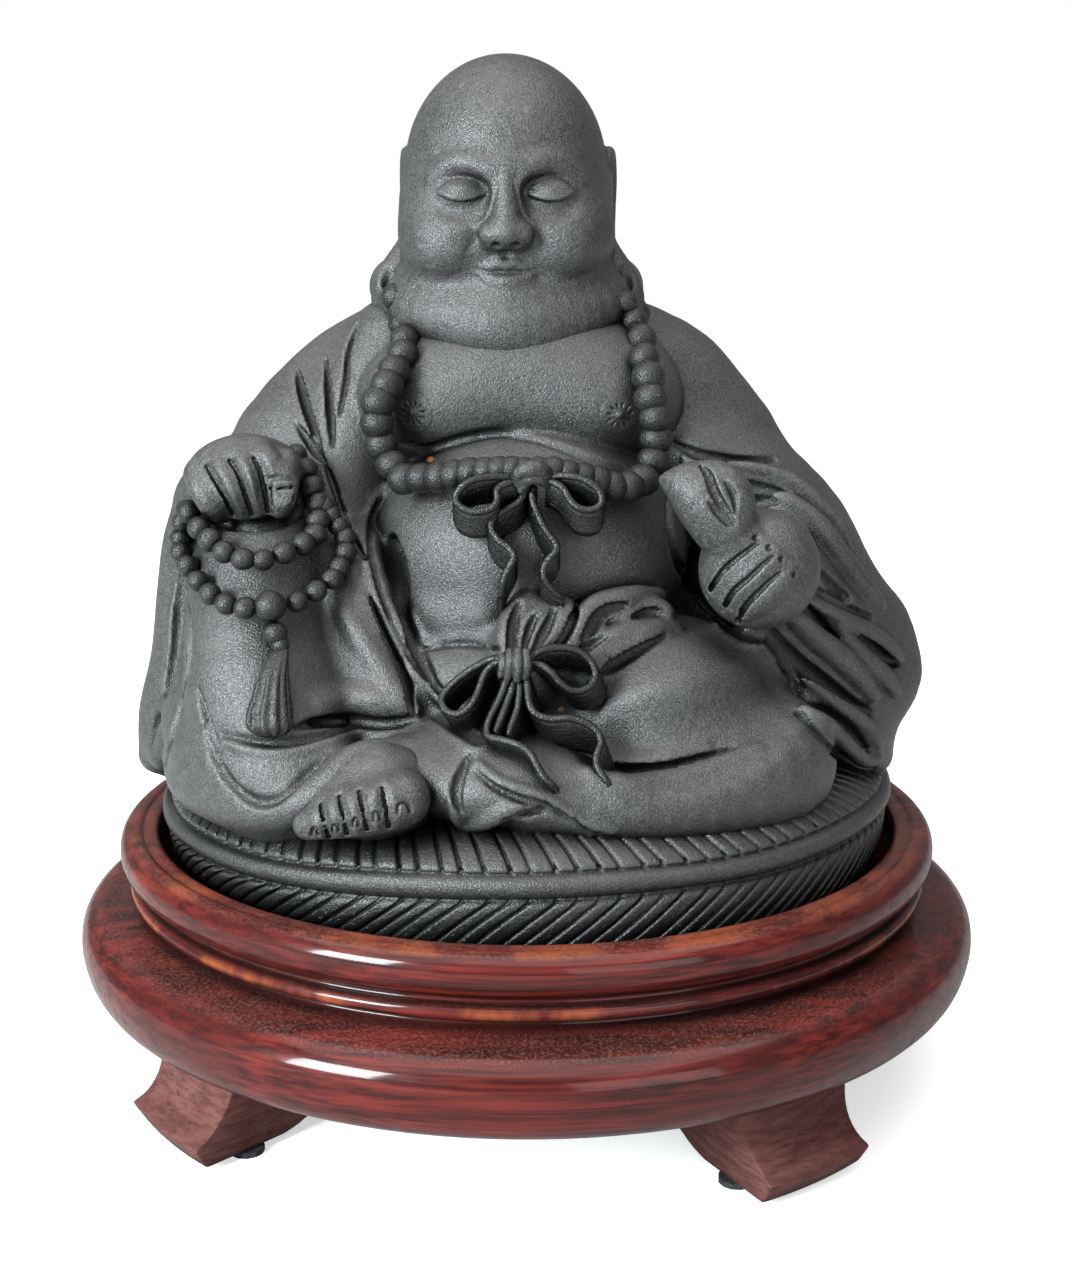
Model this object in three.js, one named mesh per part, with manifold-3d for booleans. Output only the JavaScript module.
// A seated temple figure cast in black clay, resting on a turned wooden stand with four bracket feet.
// Millimetres, +Z up, the figure looks along -Y, the origin is on the stand's axis at the floor.
import * as THREE from "three";
import Module from "manifold-3d";
import { mergeVertices } from "three/addons/utils/BufferGeometryUtils.js";

const wasm = await Module();
wasm.setup();

// Driving sizes of the mat, which the stand's recess fits
const MAT_RADIUS_X = 89.6;
const MAT_RADIUS_Y = 87;
const MAT_FOOT_RADIUS = 84;
const MAT_HEIGHT = 28;
const MAT_STRANDS = 72;
const MAT_STRAND_DEPTH = 0.9;
const MAT_DROOP = 5;

// Clearances
const MAT_CLEARANCE = 0.9;
const SEAT_GAP = 0.3;
const FOOT_GAP = 0.3;
const PAD_GAP = 0.3;

// Driving sizes of the stand
const RIM_WALL = 9.4;
const BULLNOSE_REACH = 10.1;
const FOOT_HEIGHT = 24.2;
const BULLNOSE_RISE = 11.8;
const LEDGE_RISE = 19;
const RIM_RISE = 37.3;
const RECESS_DEPTH = 8.5;
const STAND_SEGMENTS = 40;

const RECESS_RADIUS = MAT_RADIUS_X + MAT_CLEARANCE;
const RIM_RADIUS = RECESS_RADIUS + RIM_WALL;
const STAND_RADIUS = RIM_RADIUS + BULLNOSE_REACH;
const BULLNOSE_HEIGHT = FOOT_HEIGHT + BULLNOSE_RISE;
const LEDGE_HEIGHT = FOOT_HEIGHT + LEDGE_RISE;
const RIM_HEIGHT = FOOT_HEIGHT + RIM_RISE;
const SEAT_HEIGHT = RIM_HEIGHT - RECESS_DEPTH;

// Driving sizes of the feet
const FOOT_COUNT = 4;
const FOOT_TURN = 37.9;
const FOOT_SETBACK = 5.7;
const FOOT_REACH = 42.3;
const FOOT_TOP_WIDTH = 37;
const FOOT_TOE_WIDTH = 31;
const FOOT_TOE_HEIGHT = 6.6;
const FOOT_SOLE = 1.6;
const FOOT_SLICES = 3;

const FOOT_TOE_RADIUS = STAND_RADIUS - FOOT_SETBACK;
const FOOT_INNER_RADIUS = FOOT_TOE_RADIUS - FOOT_REACH;

// Driving sizes of the pads under the feet
const PAD_LENGTH = 29;
const PAD_WIDTH = 8;
const PAD_SETBACK = 16.3;
const PAD_ROUNDING = 3;

// Driving sizes of the figure
const FIGURE_HEIGHT = 188;
const NECKLACE_BEAD = 3.5;
const NECKLACE_PITCH = 5.1;
const HAND_BEAD = 2.5;
const HAND_PITCH = 4.5;
const GURU_BEAD = 3.3;
const RIBBON_THICKNESS = 1.4;
const RIBBON_BAND = 5;
const UPPER_LEAN = 42;
const LOWER_LEAN = 30;

// Facets: steps along and sides around
const LIMB_FACETS = [4, 7];
const FOLD_FACETS = [3, 5];
const DIGIT_FACETS = [2, 5];
const FEATURE_FACETS = [2, 4];
const BEAD_SIDES = 5;
const BODY_ALLOWANCE = 0.8;
const DETAIL_ALLOWANCE = 0.45;
const SETTLING_PASSES = 4;
const LEAST_TURN = 0.3;

// The pose is laid out on a grid 188 steps high, so the carving scales with the figure's height.
const GRID_STEPS = 188;
const STEP = FIGURE_HEIGHT / GRID_STEPS;

const clayColour = new THREE.MeshStandardMaterial({ color: 0x2b2a29, roughness: 0.55, metalness: 0 });
const padColour = new THREE.MeshStandardMaterial({ color: 0x17181a, roughness: 0.9, metalness: 0 });
const woodColour = new THREE.MeshStandardMaterial({ color: 0x4a1712, roughness: 0.3, metalness: 0 });

// A geometry becomes a closed solid; one that was swept inside out is turned back
function indexed(geometry) {
  const plain = geometry.clone();
  plain.deleteAttribute("normal");
  plain.deleteAttribute("uv");
  return mergeVertices(plain, 1e-4);
}

function solid(geometry) {
  const merged = indexed(geometry);
  const order = new Uint32Array(merged.index.array);
  const vertProperties = new Float32Array(merged.attributes.position.array);
  const body = new wasm.Manifold(new wasm.Mesh({ numProp: 3, vertProperties, triVerts: order }));
  if (body.volume() > 0) return body;
  for (let i = 0; i < order.length; i += 3) [order[i], order[i + 1]] = [order[i + 1], order[i]];
  return new wasm.Manifold(new wasm.Mesh({ numProp: 3, vertProperties, triVerts: order }));
}

// Joining leaves slivers where facets cross. Each short edge is drawn together to one of its ends
// wherever the surface moves by less than the allowance and no facet turns over.
function settled(geometry, allowance) {
  const spots = geometry.attributes.position;
  const points = [];
  for (let i = 0; i < spots.count; i += 1) points.push(new THREE.Vector3().fromBufferAttribute(spots, i));
  const order = geometry.index.array;
  const faces = [];
  const around = points.map(() => new Set());
  for (let i = 0; i < order.length; i += 3) {
    const face = [order[i], order[i + 1], order[i + 2]];
    face.forEach((corner) => around[corner].add(faces.length));
    faces.push(face);
  }
  const plane = new THREE.Plane();
  const turned = new THREE.Plane();
  const neighbours = (v) => new Set([...around[v]].flatMap((f) => faces[f]).filter((w) => w !== v));
  const mayMove = (from, to) => {
    const near = neighbours(to);
    const common = [...neighbours(from)].filter((v) => near.has(v));
    if (common.length !== 2 || common.some((v) => around[v].size < 4)) return false;
    return [...around[from]].every((f) => {
      if (faces[f].includes(to)) return true;
      plane.setFromCoplanarPoints(...faces[f].map((v) => points[v]));
      if (Math.abs(plane.distanceToPoint(points[to])) > allowance) return false;
      turned.setFromCoplanarPoints(...faces[f].map((v) => points[v === from ? to : v]));
      return turned.normal.dot(plane.normal) > LEAST_TURN;
    });
  };
  const move = (from, to) => {
    for (const f of [...around[from]]) {
      if (faces[f].includes(to)) {
        faces[f].forEach((v) => around[v].delete(f));
        faces[f] = null;
      } else {
        faces[f][faces[f].indexOf(from)] = to;
        around[to].add(f);
      }
    }
    around[from].clear();
  };
  for (let pass = 0; pass < SETTLING_PASSES; pass += 1) {
    const edges = faces.flatMap((face) => (face ? [0, 1, 2].map((k) => [face[k], face[(k + 1) % 3]]) : []));
    const lengthOf = ([a, b]) => points[a].distanceTo(points[b]);
    edges.sort((one, other) => lengthOf(one) - lengthOf(other));
    for (const [a, b] of edges) {
      const linked = around[a].size > 0 && around[b].size > 0 && neighbours(a).has(b);
      if (linked && mayMove(a, b)) move(a, b);
    }
  }
  const kept = new Map();
  const index = faces.filter(Boolean).flatMap((face) => face.map((v) => {
    if (!kept.has(v)) kept.set(v, kept.size);
    return kept.get(v);
  }));
  const tidy = new THREE.BufferGeometry().setFromPoints([...kept.keys()].map((v) => points[v]));
  tidy.setIndex(index);
  return tidy;
}

function geometryOf(body) {
  const raw = body.getMesh();
  const geometry = new THREE.BufferGeometry();
  const points = new Float32Array(raw.numVert * 3);
  for (let i = 0; i < raw.numVert; i += 1) {
    for (let k = 0; k < 3; k += 1) points[i * 3 + k] = raw.vertProperties[i * raw.numProp + k];
  }
  geometry.setAttribute("position", new THREE.BufferAttribute(points, 3));
  geometry.setIndex(new THREE.BufferAttribute(new Uint32Array(raw.triVerts), 1));
  return geometry;
}

function meshOf(geometry, name, material) {
  geometry.computeVertexNormals();
  const mesh = new THREE.Mesh(geometry, material);
  mesh.name = name;
  return mesh;
}

const joined = (bodies) => bodies.reduce((sum, body) => sum.add(body));
const mix = (a, b, t) => a + (b - a) * t;

// One rounded mass: centre and three radii, faceted more finely as detail rises
function mass([x, y, z, rx, ry, rz], detail) {
  const geometry = new THREE.IcosahedronGeometry(1, detail);
  geometry.scale(rx, ry, rz);
  geometry.translate(x, y, z);
  return solid(geometry);
}

const curveThrough = (list, closed = false) => new THREE.CatmullRomCurve3(
  list.map(([x, y, z]) => new THREE.Vector3(x, y, z)),
  closed,
  "centripetal",
);

// One swelling limb or fold: a round bar bent along a curve, its radius running through [x, y, z, r]
function stations(list, count) {
  const path = curveThrough(list);
  const girth = new THREE.SplineCurve(list.map((s, i) => new THREE.Vector2(i / (list.length - 1), s[3])));
  const found = [];
  for (let i = 0; i <= count; i += 1) {
    const t = i / count;
    found.push({ at: path.getPoint(t), radius: girth.getPoint(t).y });
  }
  return { path, found };
}

// A rounded end draws in to a share of the radius, this far beyond the last station
const END_SHARE = 0.55;
const END_REACH = 0.75;

function limb(list, [count, sides], rounded = true) {
  const { path, found } = stations(list, count);
  const frames = path.computeFrenetFrames(count);
  const rings = rounded ? count + 2 : count;
  const geometry = new THREE.CylinderGeometry(1, 1, 1, sides, rings);
  const spots = geometry.attributes.position;
  const place = new THREE.Vector3();
  for (let i = 0; i < spots.count; i += 1) {
    const row = Math.round((0.5 + spots.getY(i)) * rings);
    const inner = rounded ? Math.min(count, Math.max(0, row - 1)) : row;
    const end = rounded && (row === 0 || row === rings);
    const { at, radius } = found[inner];
    const across = end ? radius * END_SHARE : radius;
    const along = end ? Math.sign(row - 1) * END_REACH * radius : 0;
    place.copy(at);
    place.addScaledVector(frames.normals[inner], spots.getX(i) * across);
    place.addScaledVector(frames.binormals[inner], spots.getZ(i) * across);
    place.addScaledVector(frames.tangents[inner], along);
    spots.setXYZ(i, place.x, place.y, place.z);
  }
  return solid(geometry);
}

// The body under the cloth: rounded masses [x, y, z, rx, ry, rz]
const MASSES = {
  hips: [0, 14, 38, 66, 50, 24],
  belly: [0, -16, 76, 37.5, 35, 31],
  chest: [-1, 4, 112, 38, 32.5, 24],
  breastLeft: [-19, -12.5, 110.5, 21, 18, 15.5],
  breastRight: [15, -12.5, 110.5, 21, 18, 15.5],
  neck: [-4, 3, 133, 29.5, 22, 17],
  skull: [-4.8, 0, 162.4, 23.4, 26, 26.1],
  jaw: [-4.4, -7, 150, 24.6, 21.5, 19],
  chin: [-4.4, -21.5, 136, 8.5, 6.5, 6],
  kneeFolded: [31, -36, 39, 28.5, 33, 25],
  trousers: [2, -30, 50, 38, 29, 17],
  lap: [-4, -50, 35, 30, 31, 12.5],
  fist: [-62.5, -36, 96, 13, 9.5, 8.8],
  grip: [49, -49, 77.5, 12.5, 10.5, 12.5],
  foot: [-34, -66, 32, 14.5, 16, 8.5],
};
const FINELY_FACETED = ["belly", "skull", "jaw", "kneeFolded", "trousers"];

// Limbs and rolls of cloth: stations [x, y, z, radius]
const LIMBS = {
  robeBack: [[-2, 8, 114, 24], [-1, 9, 98, 34], [0, 11, 80, 40], [0, 13, 64, 44], [0, 15, 50, 50]],
  yoke: [
    [-41, 9, 106, 18], [-25, 9, 118, 17.5], [-3, 8, 122, 16], [18, 8, 118.5, 16.5], [31, 9, 108, 19],
  ],
  armRight: [
    [30, 9, 107.5, 20.5], [41, 6, 96, 20.5], [50.5, 1, 82, 18.5], [60, -12, 70, 14], [56, -32, 70, 11],
    [52, -42, 74, 10],
  ],
  armLeft: [
    [-38.5, 9, 106.5, 20.5], [-49.5, 4, 97, 20.5], [-60, -6, 86, 17], [-65, -22, 88, 12.5],
    [-63, -34, 94, 9],
  ],
  flankRight: [[38, 10, 88, 14], [46, 6, 66, 16], [50, 6, 46, 18]],
  flankLeft: [[-46, 8, 92, 14], [-56, 6, 70, 15], [-61, 8, 48, 17], [-60, 8, 32, 16]],
  robeLeft: [
    [-30, -2, 122, 12], [-40, -8, 102, 13], [-43, -16, 82, 13], [-38, -28, 64, 12], [-26, -44, 50, 8],
  ],
  thighRaised: [[-22, 0, 46, 22], [-44, -18, 62, 20], [-58, -30, 73, 17]],
  shinRaised: [[-59, -31, 73, 17], [-59, -38, 60, 17.5], [-57, -45, 46, 19], [-52, -53, 33, 17]],
  skirtRaised: [
    [-74, -24, 60, 9], [-72, -32, 44, 12], [-65, -46, 34, 14], [-54, -58, 31, 12], [-42, -62, 33, 9],
  ],
  shinFolded: [
    [50, -30, 33, 15], [54, -46, 31, 15], [38, -61, 31, 12], [20, -69, 31, 9.5], [2, -71, 31, 7],
  ],
  sleeveLeft: [
    [-70, -18, 86, 12], [-74, -14, 68, 12], [-77, -10, 50, 12.5], [-80, -7, 34, 12.5],
    [-83, -5, 23, 8],
  ],
  sleeveRight: [[54, 0, 87, 12], [63, -1, 76, 14], [69, -4, 62, 14], [76, -6, 48, 15], [73, -8, 32, 12]],
};

// How far forward the body reaches at a place on the front, found from the masses and limbs
const BALLS_PER_LIMB = 12;
const balls = Object.values(LIMBS).flatMap((list) => stations(list, BALLS_PER_LIMB).found.map((s) => [
  s.at.x, s.at.y, s.at.z, s.radius, s.radius, s.radius,
]));
const rounds = [...Object.values(MASSES), ...balls];

function frontAt(x, z) {
  let front = Infinity;
  for (const [cx, cy, cz, rx, ry, rz] of rounds) {
    const rest = 1 - ((x - cx) / rx) ** 2 - ((z - cz) / rz) ** 2;
    if (rest > 0) front = Math.min(front, cy - ry * Math.sqrt(rest));
  }
  return front;
}

// Stations [x, z, r] laid on the front of the body
const laid = (list) => list.map(([x, z, r]) => [x, frontAt(x, z), z, r]);

// Raised folds of cloth, free stations [x, y, z, r]
const FOLDS = {
  hem: [
    [-80, -34, 30, 4], [-75, -48, 27, 5], [-65, -60, 26, 5], [-54, -68, 27, 5], [-45, -72, 33, 4.5],
    [-36, -68, 40, 4], [-27, -62, 40.5, 3],
  ],
  sleeveOuter: [
    [-73, -26, 90, 4], [-79, -21, 80, 4.5], [-81.5, -17, 66, 5], [-83, -14, 50, 6],
    [-87, -11, 36, 6.5], [-90.5, -8, 22, 5],
  ],
  sleeveInner: [
    [-76, -29, 80, 3], [-77.5, -27, 64, 4], [-79, -24, 50, 4.5], [-82, -19, 36, 5], [-87, -14, 24, 5],
  ],
  cuffTop: [
    [34, -10, 101, 3], [45, -11, 97.5, 4], [55, -9, 94, 5], [64, -4, 87, 5.5], [71, -2, 78, 5.5],
    [75, -4, 68, 4],
  ],
  cuffNext: [
    [40, -13, 96, 2.5], [52, -13, 92, 3.5], [62, -12, 86, 4.5], [70, -10, 77, 5], [77, -8, 67, 5],
    [83, -6, 58, 4.5],
  ],
  cuffDeep: [
    [50, -16, 92, 2.5], [60, -17, 85, 4], [68, -16, 76, 5], [75, -13, 66, 5], [82, -9, 59, 4.5],
  ],
  sleeveTurn: [
    [58, -38, 71, 5], [68, -26, 63, 6], [78, -16, 58, 6.5], [86, -10, 52, 6.5], [87.5, -9, 44, 6.5],
    [83, -9, 37, 5],
  ],
  sleeveUnder: [[50, -40, 64, 5], [62, -30, 56, 7], [74, -20, 48, 8], [84, -12, 42, 7]],
  sleeveLow: [
    [54, -28, 52, 4], [64, -26, 45, 5], [74, -20, 39, 5.5], [81, -14, 34, 5], [82, -14, 26, 4],
  ],
  sleeveLast: [[62, -32, 40, 3], [71, -28, 35, 4.5], [79, -22, 29, 5], [82, -17, 24, 3.5]],
  waistLeft: [[-4, -62, 59, 2.5], [-4, -57, 66, 2.5], [-1, -53, 71, 2], [5, -52, 73, 1.2]],
  waistMiddle: [[1, -62, 60, 2], [4, -57, 66, 2.5], [7, -53, 70, 2.5], [9, -51, 73, 1.2]],
  waistRight: [
    [7, -58, 58, 2], [12, -54, 64, 3], [16, -51, 69, 3], [23, -47, 71, 2.5], [29, -41, 70, 2],
  ],
  backLeft: [[-24, 30, 108, 4], [-27, 38, 92, 6], [-30, 42, 72, 8], [-38, 46, 50, 9], [-46, 46, 30, 9]],
  backMiddle: [[3, 30, 112, 4], [5, 41, 94, 6], [3, 47, 72, 8], [6, 54, 48, 9], [8, 60, 30, 9]],
  backRight: [[27, 27, 102, 4], [31, 33, 88, 6], [36, 38, 70, 8], [44, 42, 48, 9], [50, 42, 30, 9]],
  collar: [
    [-31, 10, 130, 4], [-22, 24, 133, 5.5], [-3, 31, 134, 6], [16, 24, 131, 5.5], [25, 10, 126, 4],
  ],
  kneeEdge: [[12, -60, 56, 2], [19, -54, 60, 3], [26, -50, 63, 3], [32, -44, 64, 2]],
};

// The woven mat under the figure: two fringed bands with a smooth roll between them
const MAT_ROWS = [
  { share: 0, rise: 0, depth: 0, turn: 0 },
  { share: MAT_FOOT_RADIUS / MAT_RADIUS_X, rise: 0, depth: 1, turn: 0 },
  { share: 0.985, rise: 0.52, depth: 1, turn: 2.5 },
  { share: 1, rise: 0.63, depth: 0, turn: 2.5 },
  { share: 0.985, rise: 0.735, depth: 1, turn: 2.5 },
  { share: 0.85, rise: 0.97, depth: 1, turn: 3.4 },
  { share: 0, rise: 1, depth: 0, turn: 0 },
];

function mat() {
  const profile = MAT_ROWS.map((row) => new THREE.Vector2(row.share * MAT_RADIUS_X, row.rise * MAT_HEIGHT));
  const columns = MAT_STRANDS * 2;
  const geometry = new THREE.LatheGeometry(profile, columns);
  geometry.rotateX(Math.PI / 2);
  const spots = geometry.attributes.position;
  for (let i = 0; i < spots.count; i += 1) {
    const column = Math.floor(i / MAT_ROWS.length) % columns;
    const row = MAT_ROWS[i % MAT_ROWS.length];
    const angle = (2 * Math.PI * (column + row.turn)) / columns;
    const carved = column % 2 === 0 ? 0 : row.depth * MAT_STRAND_DEPTH;
    const across = row.share * MAT_RADIUS_X - carved;
    const along = row.share * MAT_RADIUS_Y - carved;
    const hangs = row.rise > 0 && row.rise < 1;
    const droop = hangs ? MAT_DROOP * Math.max(0, -Math.cos(angle)) ** 2 : 0;
    spots.setXYZ(i, across * Math.cos(angle), along * Math.sin(angle), row.rise * MAT_HEIGHT - droop);
  }
  return solid(geometry);
}

// The turned stand: profile stations [radius, height]
const STAND_PROFILE = [
  [0, FOOT_HEIGHT],
  [STAND_RADIUS - 10, FOOT_HEIGHT],
  [STAND_RADIUS - 4.6, FOOT_HEIGHT + 1.3],
  [STAND_RADIUS - 1.3, FOOT_HEIGHT + 5.4],
  [STAND_RADIUS, BULLNOSE_HEIGHT],
  [STAND_RADIUS - 1.4, BULLNOSE_HEIGHT + 4.3],
  [STAND_RADIUS - 4.8, BULLNOSE_HEIGHT + 6.8],
  [STAND_RADIUS - 7.5, LEDGE_HEIGHT],
  [RIM_RADIUS - 3.2, LEDGE_HEIGHT + 0.8],
  [RIM_RADIUS - 5.9, LEDGE_HEIGHT + 2.4],
  [RIM_RADIUS - 2.1, LEDGE_HEIGHT + 4.2],
  [RIM_RADIUS - 2.0, LEDGE_HEIGHT + 6.6],
  [RIM_RADIUS - 4.4, LEDGE_HEIGHT + 8.1],
  [RIM_RADIUS - 0.9, RIM_HEIGHT - 8.0],
  [RIM_RADIUS, RIM_HEIGHT - 4.6],
  [RIM_RADIUS - 1.4, RIM_HEIGHT - 1.4],
  [RIM_RADIUS - 4.2, RIM_HEIGHT],
  [RECESS_RADIUS, RIM_HEIGHT - 0.2],
  [RECESS_RADIUS, SEAT_HEIGHT],
  [0, SEAT_HEIGHT],
];

function standTop() {
  const profile = STAND_PROFILE.map(([r, z]) => new THREE.Vector2(r, z));
  const geometry = new THREE.LatheGeometry(profile, STAND_SEGMENTS);
  geometry.rotateX(Math.PI / 2);
  return solid(geometry);
}

// One foot: its outer face is turned with the stand and flares to a toe; the sides draw in with an S-curve
const FOOT_PROFILE = [
  [FOOT_TOE_RADIUS - 7.6, FOOT_HEIGHT - FOOT_GAP],
  [FOOT_TOE_RADIUS - 8.4, 0.8 * FOOT_HEIGHT],
  [FOOT_TOE_RADIUS - 7.4, 0.6 * FOOT_HEIGHT],
  [FOOT_TOE_RADIUS - 4.6, FOOT_TOE_HEIGHT + 3.4],
  [FOOT_TOE_RADIUS - 0.9, FOOT_TOE_HEIGHT + 0.5],
  [FOOT_TOE_RADIUS, FOOT_TOE_HEIGHT - 0.4],
  [FOOT_TOE_RADIUS - 2.6, FOOT_SOLE],
  [FOOT_TOE_RADIUS - 24.3, FOOT_SOLE],
  [FOOT_TOE_RADIUS - 33.6, FOOT_SOLE + 2.5],
  [FOOT_INNER_RADIUS, FOOT_SOLE + 7.4],
  [FOOT_INNER_RADIUS - 3, FOOT_HEIGHT - FOOT_GAP],
];

function foot(azimuth) {
  const outline = new THREE.Shape(FOOT_PROFILE.map(([r, z]) => new THREE.Vector2(r, z)));
  const geometry = new THREE.ExtrudeGeometry(outline, { depth: 1, steps: FOOT_SLICES, bevelEnabled: false });
  const spots = geometry.attributes.position;
  for (let i = 0; i < spots.count; i += 1) {
    const across = spots.getZ(i) * 2 - 1;
    const z = spots.getY(i);
    const down = THREE.MathUtils.smoothstep(FOOT_HEIGHT - z, 2, FOOT_HEIGHT - FOOT_TOE_HEIGHT);
    const half = mix(FOOT_TOP_WIDTH, FOOT_TOE_WIDTH, down) / 2;
    const turn = THREE.MathUtils.degToRad(azimuth) + (across * half) / FOOT_TOE_RADIUS;
    const r = spots.getX(i);
    spots.setXYZ(i, r * Math.sin(turn), -r * Math.cos(turn), z);
  }
  return solid(geometry);
}

// One pad: a strip laid across under the foot
function pad(azimuth) {
  const thickness = FOOT_SOLE - PAD_GAP;
  const half = PAD_LENGTH / 2 - PAD_WIDTH / 2;
  const outline = new THREE.Shape();
  outline.moveTo(-half, -PAD_WIDTH / 2);
  outline.lineTo(half, -PAD_WIDTH / 2);
  outline.absarc(half, 0, PAD_WIDTH / 2, -Math.PI / 2, Math.PI / 2, false);
  outline.lineTo(-half, PAD_WIDTH / 2);
  outline.absarc(-half, 0, PAD_WIDTH / 2, Math.PI / 2, (3 * Math.PI) / 2, false);
  const geometry = new THREE.ExtrudeGeometry(outline, {
    depth: thickness,
    curveSegments: PAD_ROUNDING,
    bevelEnabled: false,
  });
  geometry.translate(0, PAD_SETBACK - FOOT_TOE_RADIUS, 0);
  geometry.rotateZ(THREE.MathUtils.degToRad(azimuth));
  return solid(geometry);
}

// Cut folds: stations laid on the front [x, z, r]
const CUTS = {
  shoulderOuter: [[-55, 115, 0.6], [-51, 108, 1.5], [-47, 97, 0.6]],
  shoulderMiddle: [[-47.5, 119, 0.6], [-46.5, 110, 1.6], [-45.5, 100, 0.6]],
  shoulderInner: [[-41, 124, 0.7], [-42, 115, 1.6], [-44, 105, 0.6]],
  kneeCrease: [[9, 39, 0.8], [20, 39, 1.8], [34, 39.5, 1.8], [50, 42, 0.8]],
};

// Fingers, toes, ears, face and the mouth of the sack: stations [x, y, z, r]
const DIGITS = {
  earLeft: [
    [-25, 0, 166, 2.4], [-26, -2, 159, 3], [-26.6, -3, 150, 3.2], [-29.4, -4, 143, 4],
    [-32.2, -4.5, 136, 4.8],
  ],
  earRight: [
    [17.2, 0, 166, 2.4], [18.4, -2, 159, 3], [19, -3, 150, 3.2], [21.2, -4, 143, 4],
    [23.4, -4.5, 136, 4.8],
  ],
  tassel: [[-53.3, -60, 63.5, 1.5], [-53.8, -63, 58, 3], [-54.5, -65.5, 52, 3.8], [-55, -67, 46, 4.4]],
  nose: [[-4.4, -26.5, 159, 1.6], [-4.4, -30, 152, 2.3], [-4.4, -31, 147.5, 3.4]],
  finger1: [[-71, -41, 97, 3.2], [-69, -44, 93, 3.4], [-66.5, -42, 89, 2.8]],
  finger2: [[-67, -40, 101.5, 3.2], [-64.5, -44.5, 96, 3.4], [-61.5, -43, 89.5, 2.8]],
  finger3: [[-62, -40, 102.5, 3.2], [-60, -44.5, 97, 3.4], [-57.5, -43, 90.5, 2.8]],
  thumb: [[-57, -39, 102.5, 3.6], [-54.5, -43.5, 98.5, 3.8], [-53.5, -44, 92.5, 3.2]],
  grip1: [[45.5, -56, 87, 3.2], [41.5, -57.5, 82.5, 3.4], [38.5, -55, 78, 2.8]],
  grip2: [[50, -58, 84, 3.2], [45.5, -59.5, 78.5, 3.4], [41.5, -57, 74, 2.8]],
  grip3: [[53.5, -58, 80.5, 3.2], [49.5, -59.5, 75.5, 3.4], [45.5, -57, 71, 2.8]],
  grip4: [[57, -57, 76.5, 3.2], [53.5, -58.5, 72, 3.4], [50, -56, 68.5, 2.8]],
  sackNeck: [[47, -50, 85, 6.5], [43, -50, 91, 8], [37, -49, 95.5, 6], [31, -49, 98, 2.5]],
};

const FEATURES = {
  toe1: [[-27, -77, 33, 3], [-26.5, -81, 31.5, 2.8]],
  toe2: [[-32, -78, 33, 2.8], [-31.8, -82, 31, 2.6]],
  toe3: [[-36.5, -77.5, 32.5, 2.6], [-36.5, -81, 30.3, 2.4]],
  toe4: [[-41, -76, 31.5, 2.5], [-41.2, -79.3, 29.2, 2.3]],
  toe5: [[-45, -73.5, 30, 2.3], [-45.5, -76.5, 28, 2.1]],
  lipUpper: [[-11.7, -23.4, 140.8, 0.8], [-4.4, -26.4, 141.3, 1.8], [2.9, -23.4, 140.8, 0.8]],
  lipLower: [[-10.7, -22.6, 139.3, 0.8], [-4.4, -26.2, 137.8, 2.1], [1.9, -22.6, 139.3, 0.8]],
  browLeft: [[-21, -18, 159.5, 1], [-14.7, -24, 163.8, 1.7], [-8, -26, 162.8, 1.2]],
  browRight: [[12.2, -18, 159.5, 1], [5.9, -24, 163.8, 1.7], [-0.8, -26, 162.8, 1.2]],
  eyeLeft: [[-19.2, -20.5, 156.5, 1.2], [-14.4, -23.2, 157.2, 2.4], [-9.7, -24.8, 156.5, 1.2]],
  eyeRight: [[10.4, -20.5, 156.5, 1.2], [5.6, -23.2, 157.2, 2.4], [0.9, -24.8, 156.5, 1.2]],
};

// A string of beads as one turned bar: each bead has a waist and two shoulders at shares of the pitch
const BEAD_WAIST = 0.4;
const BEAD_SHOULDER = 0.96;
const BEAD_PLACES = [0, 0.26, 0.74];
const BEAD_ROWS = BEAD_PLACES.length;
const beadShare = (row) => Math.floor(row / BEAD_ROWS) + BEAD_PLACES[row % BEAD_ROWS];

function beads(list, radius, spacing, closed = false) {
  const path = curveThrough(list, closed);
  const count = Math.round(path.getLength() / spacing);
  const rows = count * BEAD_ROWS;
  const frames = path.computeFrenetFrames(rows, closed);
  const geometry = new THREE.CylinderGeometry(1, 1, 1, BEAD_SIDES, rows);
  const spots = geometry.attributes.position;
  const place = new THREE.Vector3();
  for (let i = 0; i < spots.count; i += 1) {
    const row = Math.round((0.5 + spots.getY(i)) * rows);
    const girth = row % BEAD_ROWS === 0 ? radius * BEAD_WAIST : radius * BEAD_SHOULDER;
    place.copy(path.getPointAt(beadShare(row) / count));
    place.addScaledVector(frames.normals[row], spots.getX(i) * girth);
    place.addScaledVector(frames.binormals[row], spots.getZ(i) * girth);
    spots.setXYZ(i, place.x, place.y, place.z);
  }
  return solid(geometry);
}

const NECKLACE = [
  [-3, 21, 139], [-24, 16, 138], [-33, 1, 134], [-30, -12, 128], [-28.5, -25, 122], [-31, -33, 116],
  [-33.5, -35, 110], [-34, -34, 102], [-30, -38, 96], [-22, -44, 95.5], [-9, -50, 97.5], [0, -51, 98],
  [9, -50, 97.5], [22, -44, 95.5], [28, -38, 96], [30, -34, 102], [29, -35, 109], [27.5, -32, 117.5],
  [26, -18, 125], [25, -4, 132], [18, 16, 138],
];
const INNER_LOOP = [
  [-52, -30, 99], [-48.5, -37, 95], [-46, -41, 89], [-46.5, -45, 84], [-52.5, -52, 81], [-61, -55, 80],
  [-69, -50, 83], [-75, -38, 87],
];
const OUTER_LOOP = [
  [-45, -40, 88], [-40, -42, 80], [-43, -49, 74], [-55, -59, 70.5], [-66, -57, 70.7], [-74, -47, 74.3],
  [-79.5, -35, 79], [-76, -33, 87],
];
const GURU_PLACE = 3;

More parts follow.
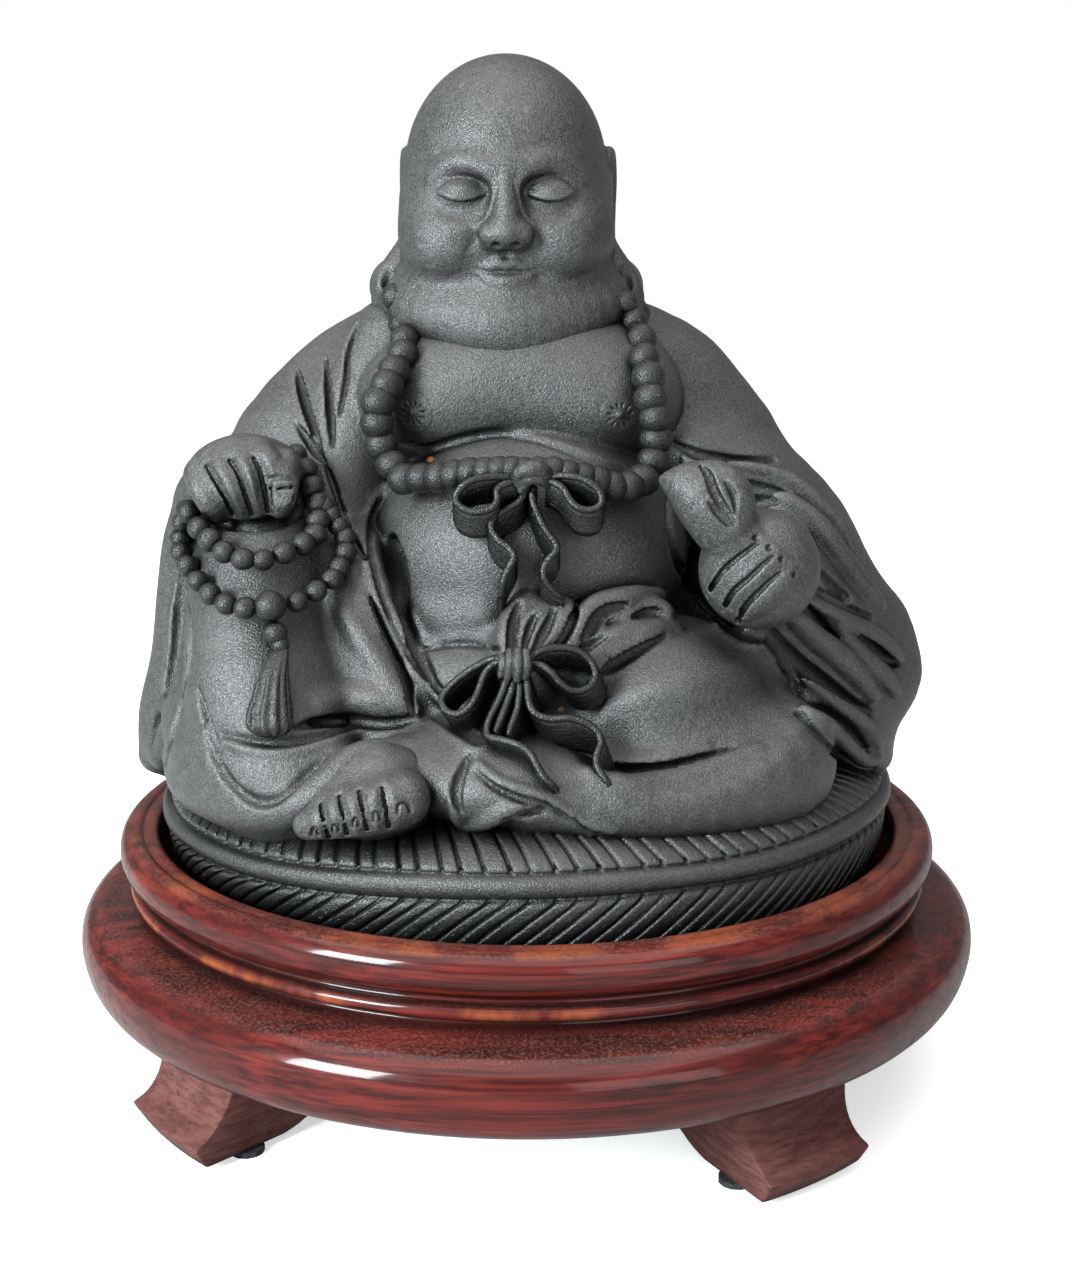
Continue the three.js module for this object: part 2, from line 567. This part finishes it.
// A ribbon standing on edge: its front edge runs through the stations, its band leans back into the body
function ribbon(list, lean) {
  const path = curveThrough(list);
  const tilt = THREE.MathUtils.degToRad(lean);
  const inward = new THREE.Vector3(0, Math.cos(tilt), -Math.sin(tilt));
  const geometry = new THREE.BoxGeometry(1, 1, 1, list.length * 2, 1, 1);
  const spots = geometry.attributes.position;
  const place = new THREE.Vector3();
  const side = new THREE.Vector3();
  for (let i = 0; i < spots.count; i += 1) {
    const t = spots.getX(i) + 0.5;
    side.crossVectors(path.getTangentAt(t), inward).normalize();
    place.copy(path.getPointAt(t));
    place.addScaledVector(side, spots.getY(i) * RIBBON_THICKNESS);
    place.addScaledVector(inward, (spots.getZ(i) + 0.5) * RIBBON_BAND);
    spots.setXYZ(i, place.x, place.y, place.z);
  }
  return solid(geometry);
}

const UPPER_BOW = [
  [
    [-1, -50, 98.5], [-8, -49, 98], [-14.5, -49.5, 95.5], [-15, -51.5, 91.8], [-10.5, -54, 90.3],
    [-6.8, -53, 93], [-1, -51, 97.5],
  ],
  [
    [3, -50, 98.5], [9, -49.5, 97.5], [15.5, -50, 94.5], [16.5, -51.5, 91.3], [12, -53.5, 90.6],
    [8.8, -52, 94], [3, -51, 97.5],
  ],
  [[0, -51, 97], [-4, -53.5, 91], [-7.6, -55, 87], [-3, -57, 82], [-2.8, -57.5, 79], [-5.3, -56.5, 73]],
  [
    [1.5, -51, 97], [3.5, -54.5, 89], [6.8, -56, 83], [4.2, -57, 78.5], [7.5, -56.5, 73.5],
    [11, -54, 70],
  ],
];
const LOWER_BOW = [
  [
    [-3, -65, 60], [-10, -62, 58], [-18.5, -64, 51.5], [-18, -68, 48.5], [-13, -70, 47.5],
    [-8.5, -67, 53], [-3, -66, 59],
  ],
  [[2, -65, 60.5], [9, -63, 61], [14.5, -63, 58.3], [13.5, -66, 54.5], [8.5, -67, 54], [4, -67, 58.5]],
  [[-3, -66, 57], [-7, -70, 50], [-8.5, -74, 45.5], [-2.5, -77, 44], [1.5, -81, 39], [4, -81, 37]],
  [[0.5, -66, 57], [1, -71, 50.5], [5, -72, 48], [12.5, -71, 47.5], [15.5, -74, 43], [15.5, -77, 39.5]],
  [[-1.5, -66, 56], [-3.6, -70, 50.5], [-5.2, -73.5, 46.5]],
];
const KNOTS = [[1, -50, 97.5, 3.2, 3, 2.4], [-0.5, -63, 58.5, 3.2, 5, 4.5]];

// Everything put together
const flesh = Object.entries(MASSES).map(([name, m]) => mass(m, FINELY_FACETED.includes(name) ? 2 : 1));
const cloth = Object.values(LIMBS).map((list) => limb(list, LIMB_FACETS));
const folds = Object.values(FOLDS).map((list) => limb(list, FOLD_FACETS));
const digits = Object.values(DIGITS).map((list) => limb(list, DIGIT_FACETS));
const features = Object.values(FEATURES).map((list) => limb(list, FEATURE_FACETS, false));
const cuts = Object.values(CUTS).map((list) => limb(laid(list), FEATURE_FACETS, false));
const strings = [
  beads(NECKLACE, NECKLACE_BEAD, NECKLACE_PITCH, true),
  beads(INNER_LOOP, HAND_BEAD, HAND_PITCH),
  beads(OUTER_LOOP, HAND_BEAD, HAND_PITCH),
  mass([...OUTER_LOOP[GURU_PLACE], GURU_BEAD, GURU_BEAD, GURU_BEAD], 1),
];
const bows = [
  ...UPPER_BOW.map((list) => ribbon(list, UPPER_LEAN)),
  ...LOWER_BOW.map((list) => ribbon(list, LOWER_LEAN)),
  ...KNOTS.map((knot) => mass(knot, 1)),
];
const body = joined([...flesh, ...cloth, ...folds]);
const carved = cuts.reduce((left, cut) => left.subtract(cut), body);
const base = solid(settled(geometryOf(carved), BODY_ALLOWANCE));
const shells = joined([base, ...digits, ...features, ...strings, ...bows])
  .scale([STEP, STEP, STEP])
  .add(mat())
  .translate([0, 0, SEAT_HEIGHT + SEAT_GAP])
  .decompose();

// The outer shell alone: small pockets closed in between the masses are filled
const figure = shells.reduce((largest, shell) => (shell.volume() > largest.volume() ? shell : largest));

const group = new THREE.Group();
group.name = "seated_figure_on_stand";
group.add(meshOf(settled(geometryOf(figure), DETAIL_ALLOWANCE), "figure", clayColour));
group.add(meshOf(geometryOf(standTop()), "stand_top", woodColour));
const FOOT_NAMES = ["front_right", "back_right", "back_left", "front_left"];
FOOT_NAMES.forEach((place, i) => {
  const azimuth = FOOT_TURN + (i * 360) / FOOT_COUNT;
  group.add(meshOf(geometryOf(foot(azimuth)), `foot_${place}`, woodColour));
  group.add(meshOf(geometryOf(pad(azimuth)), `pad_${place}`, padColour));
});

export default group;
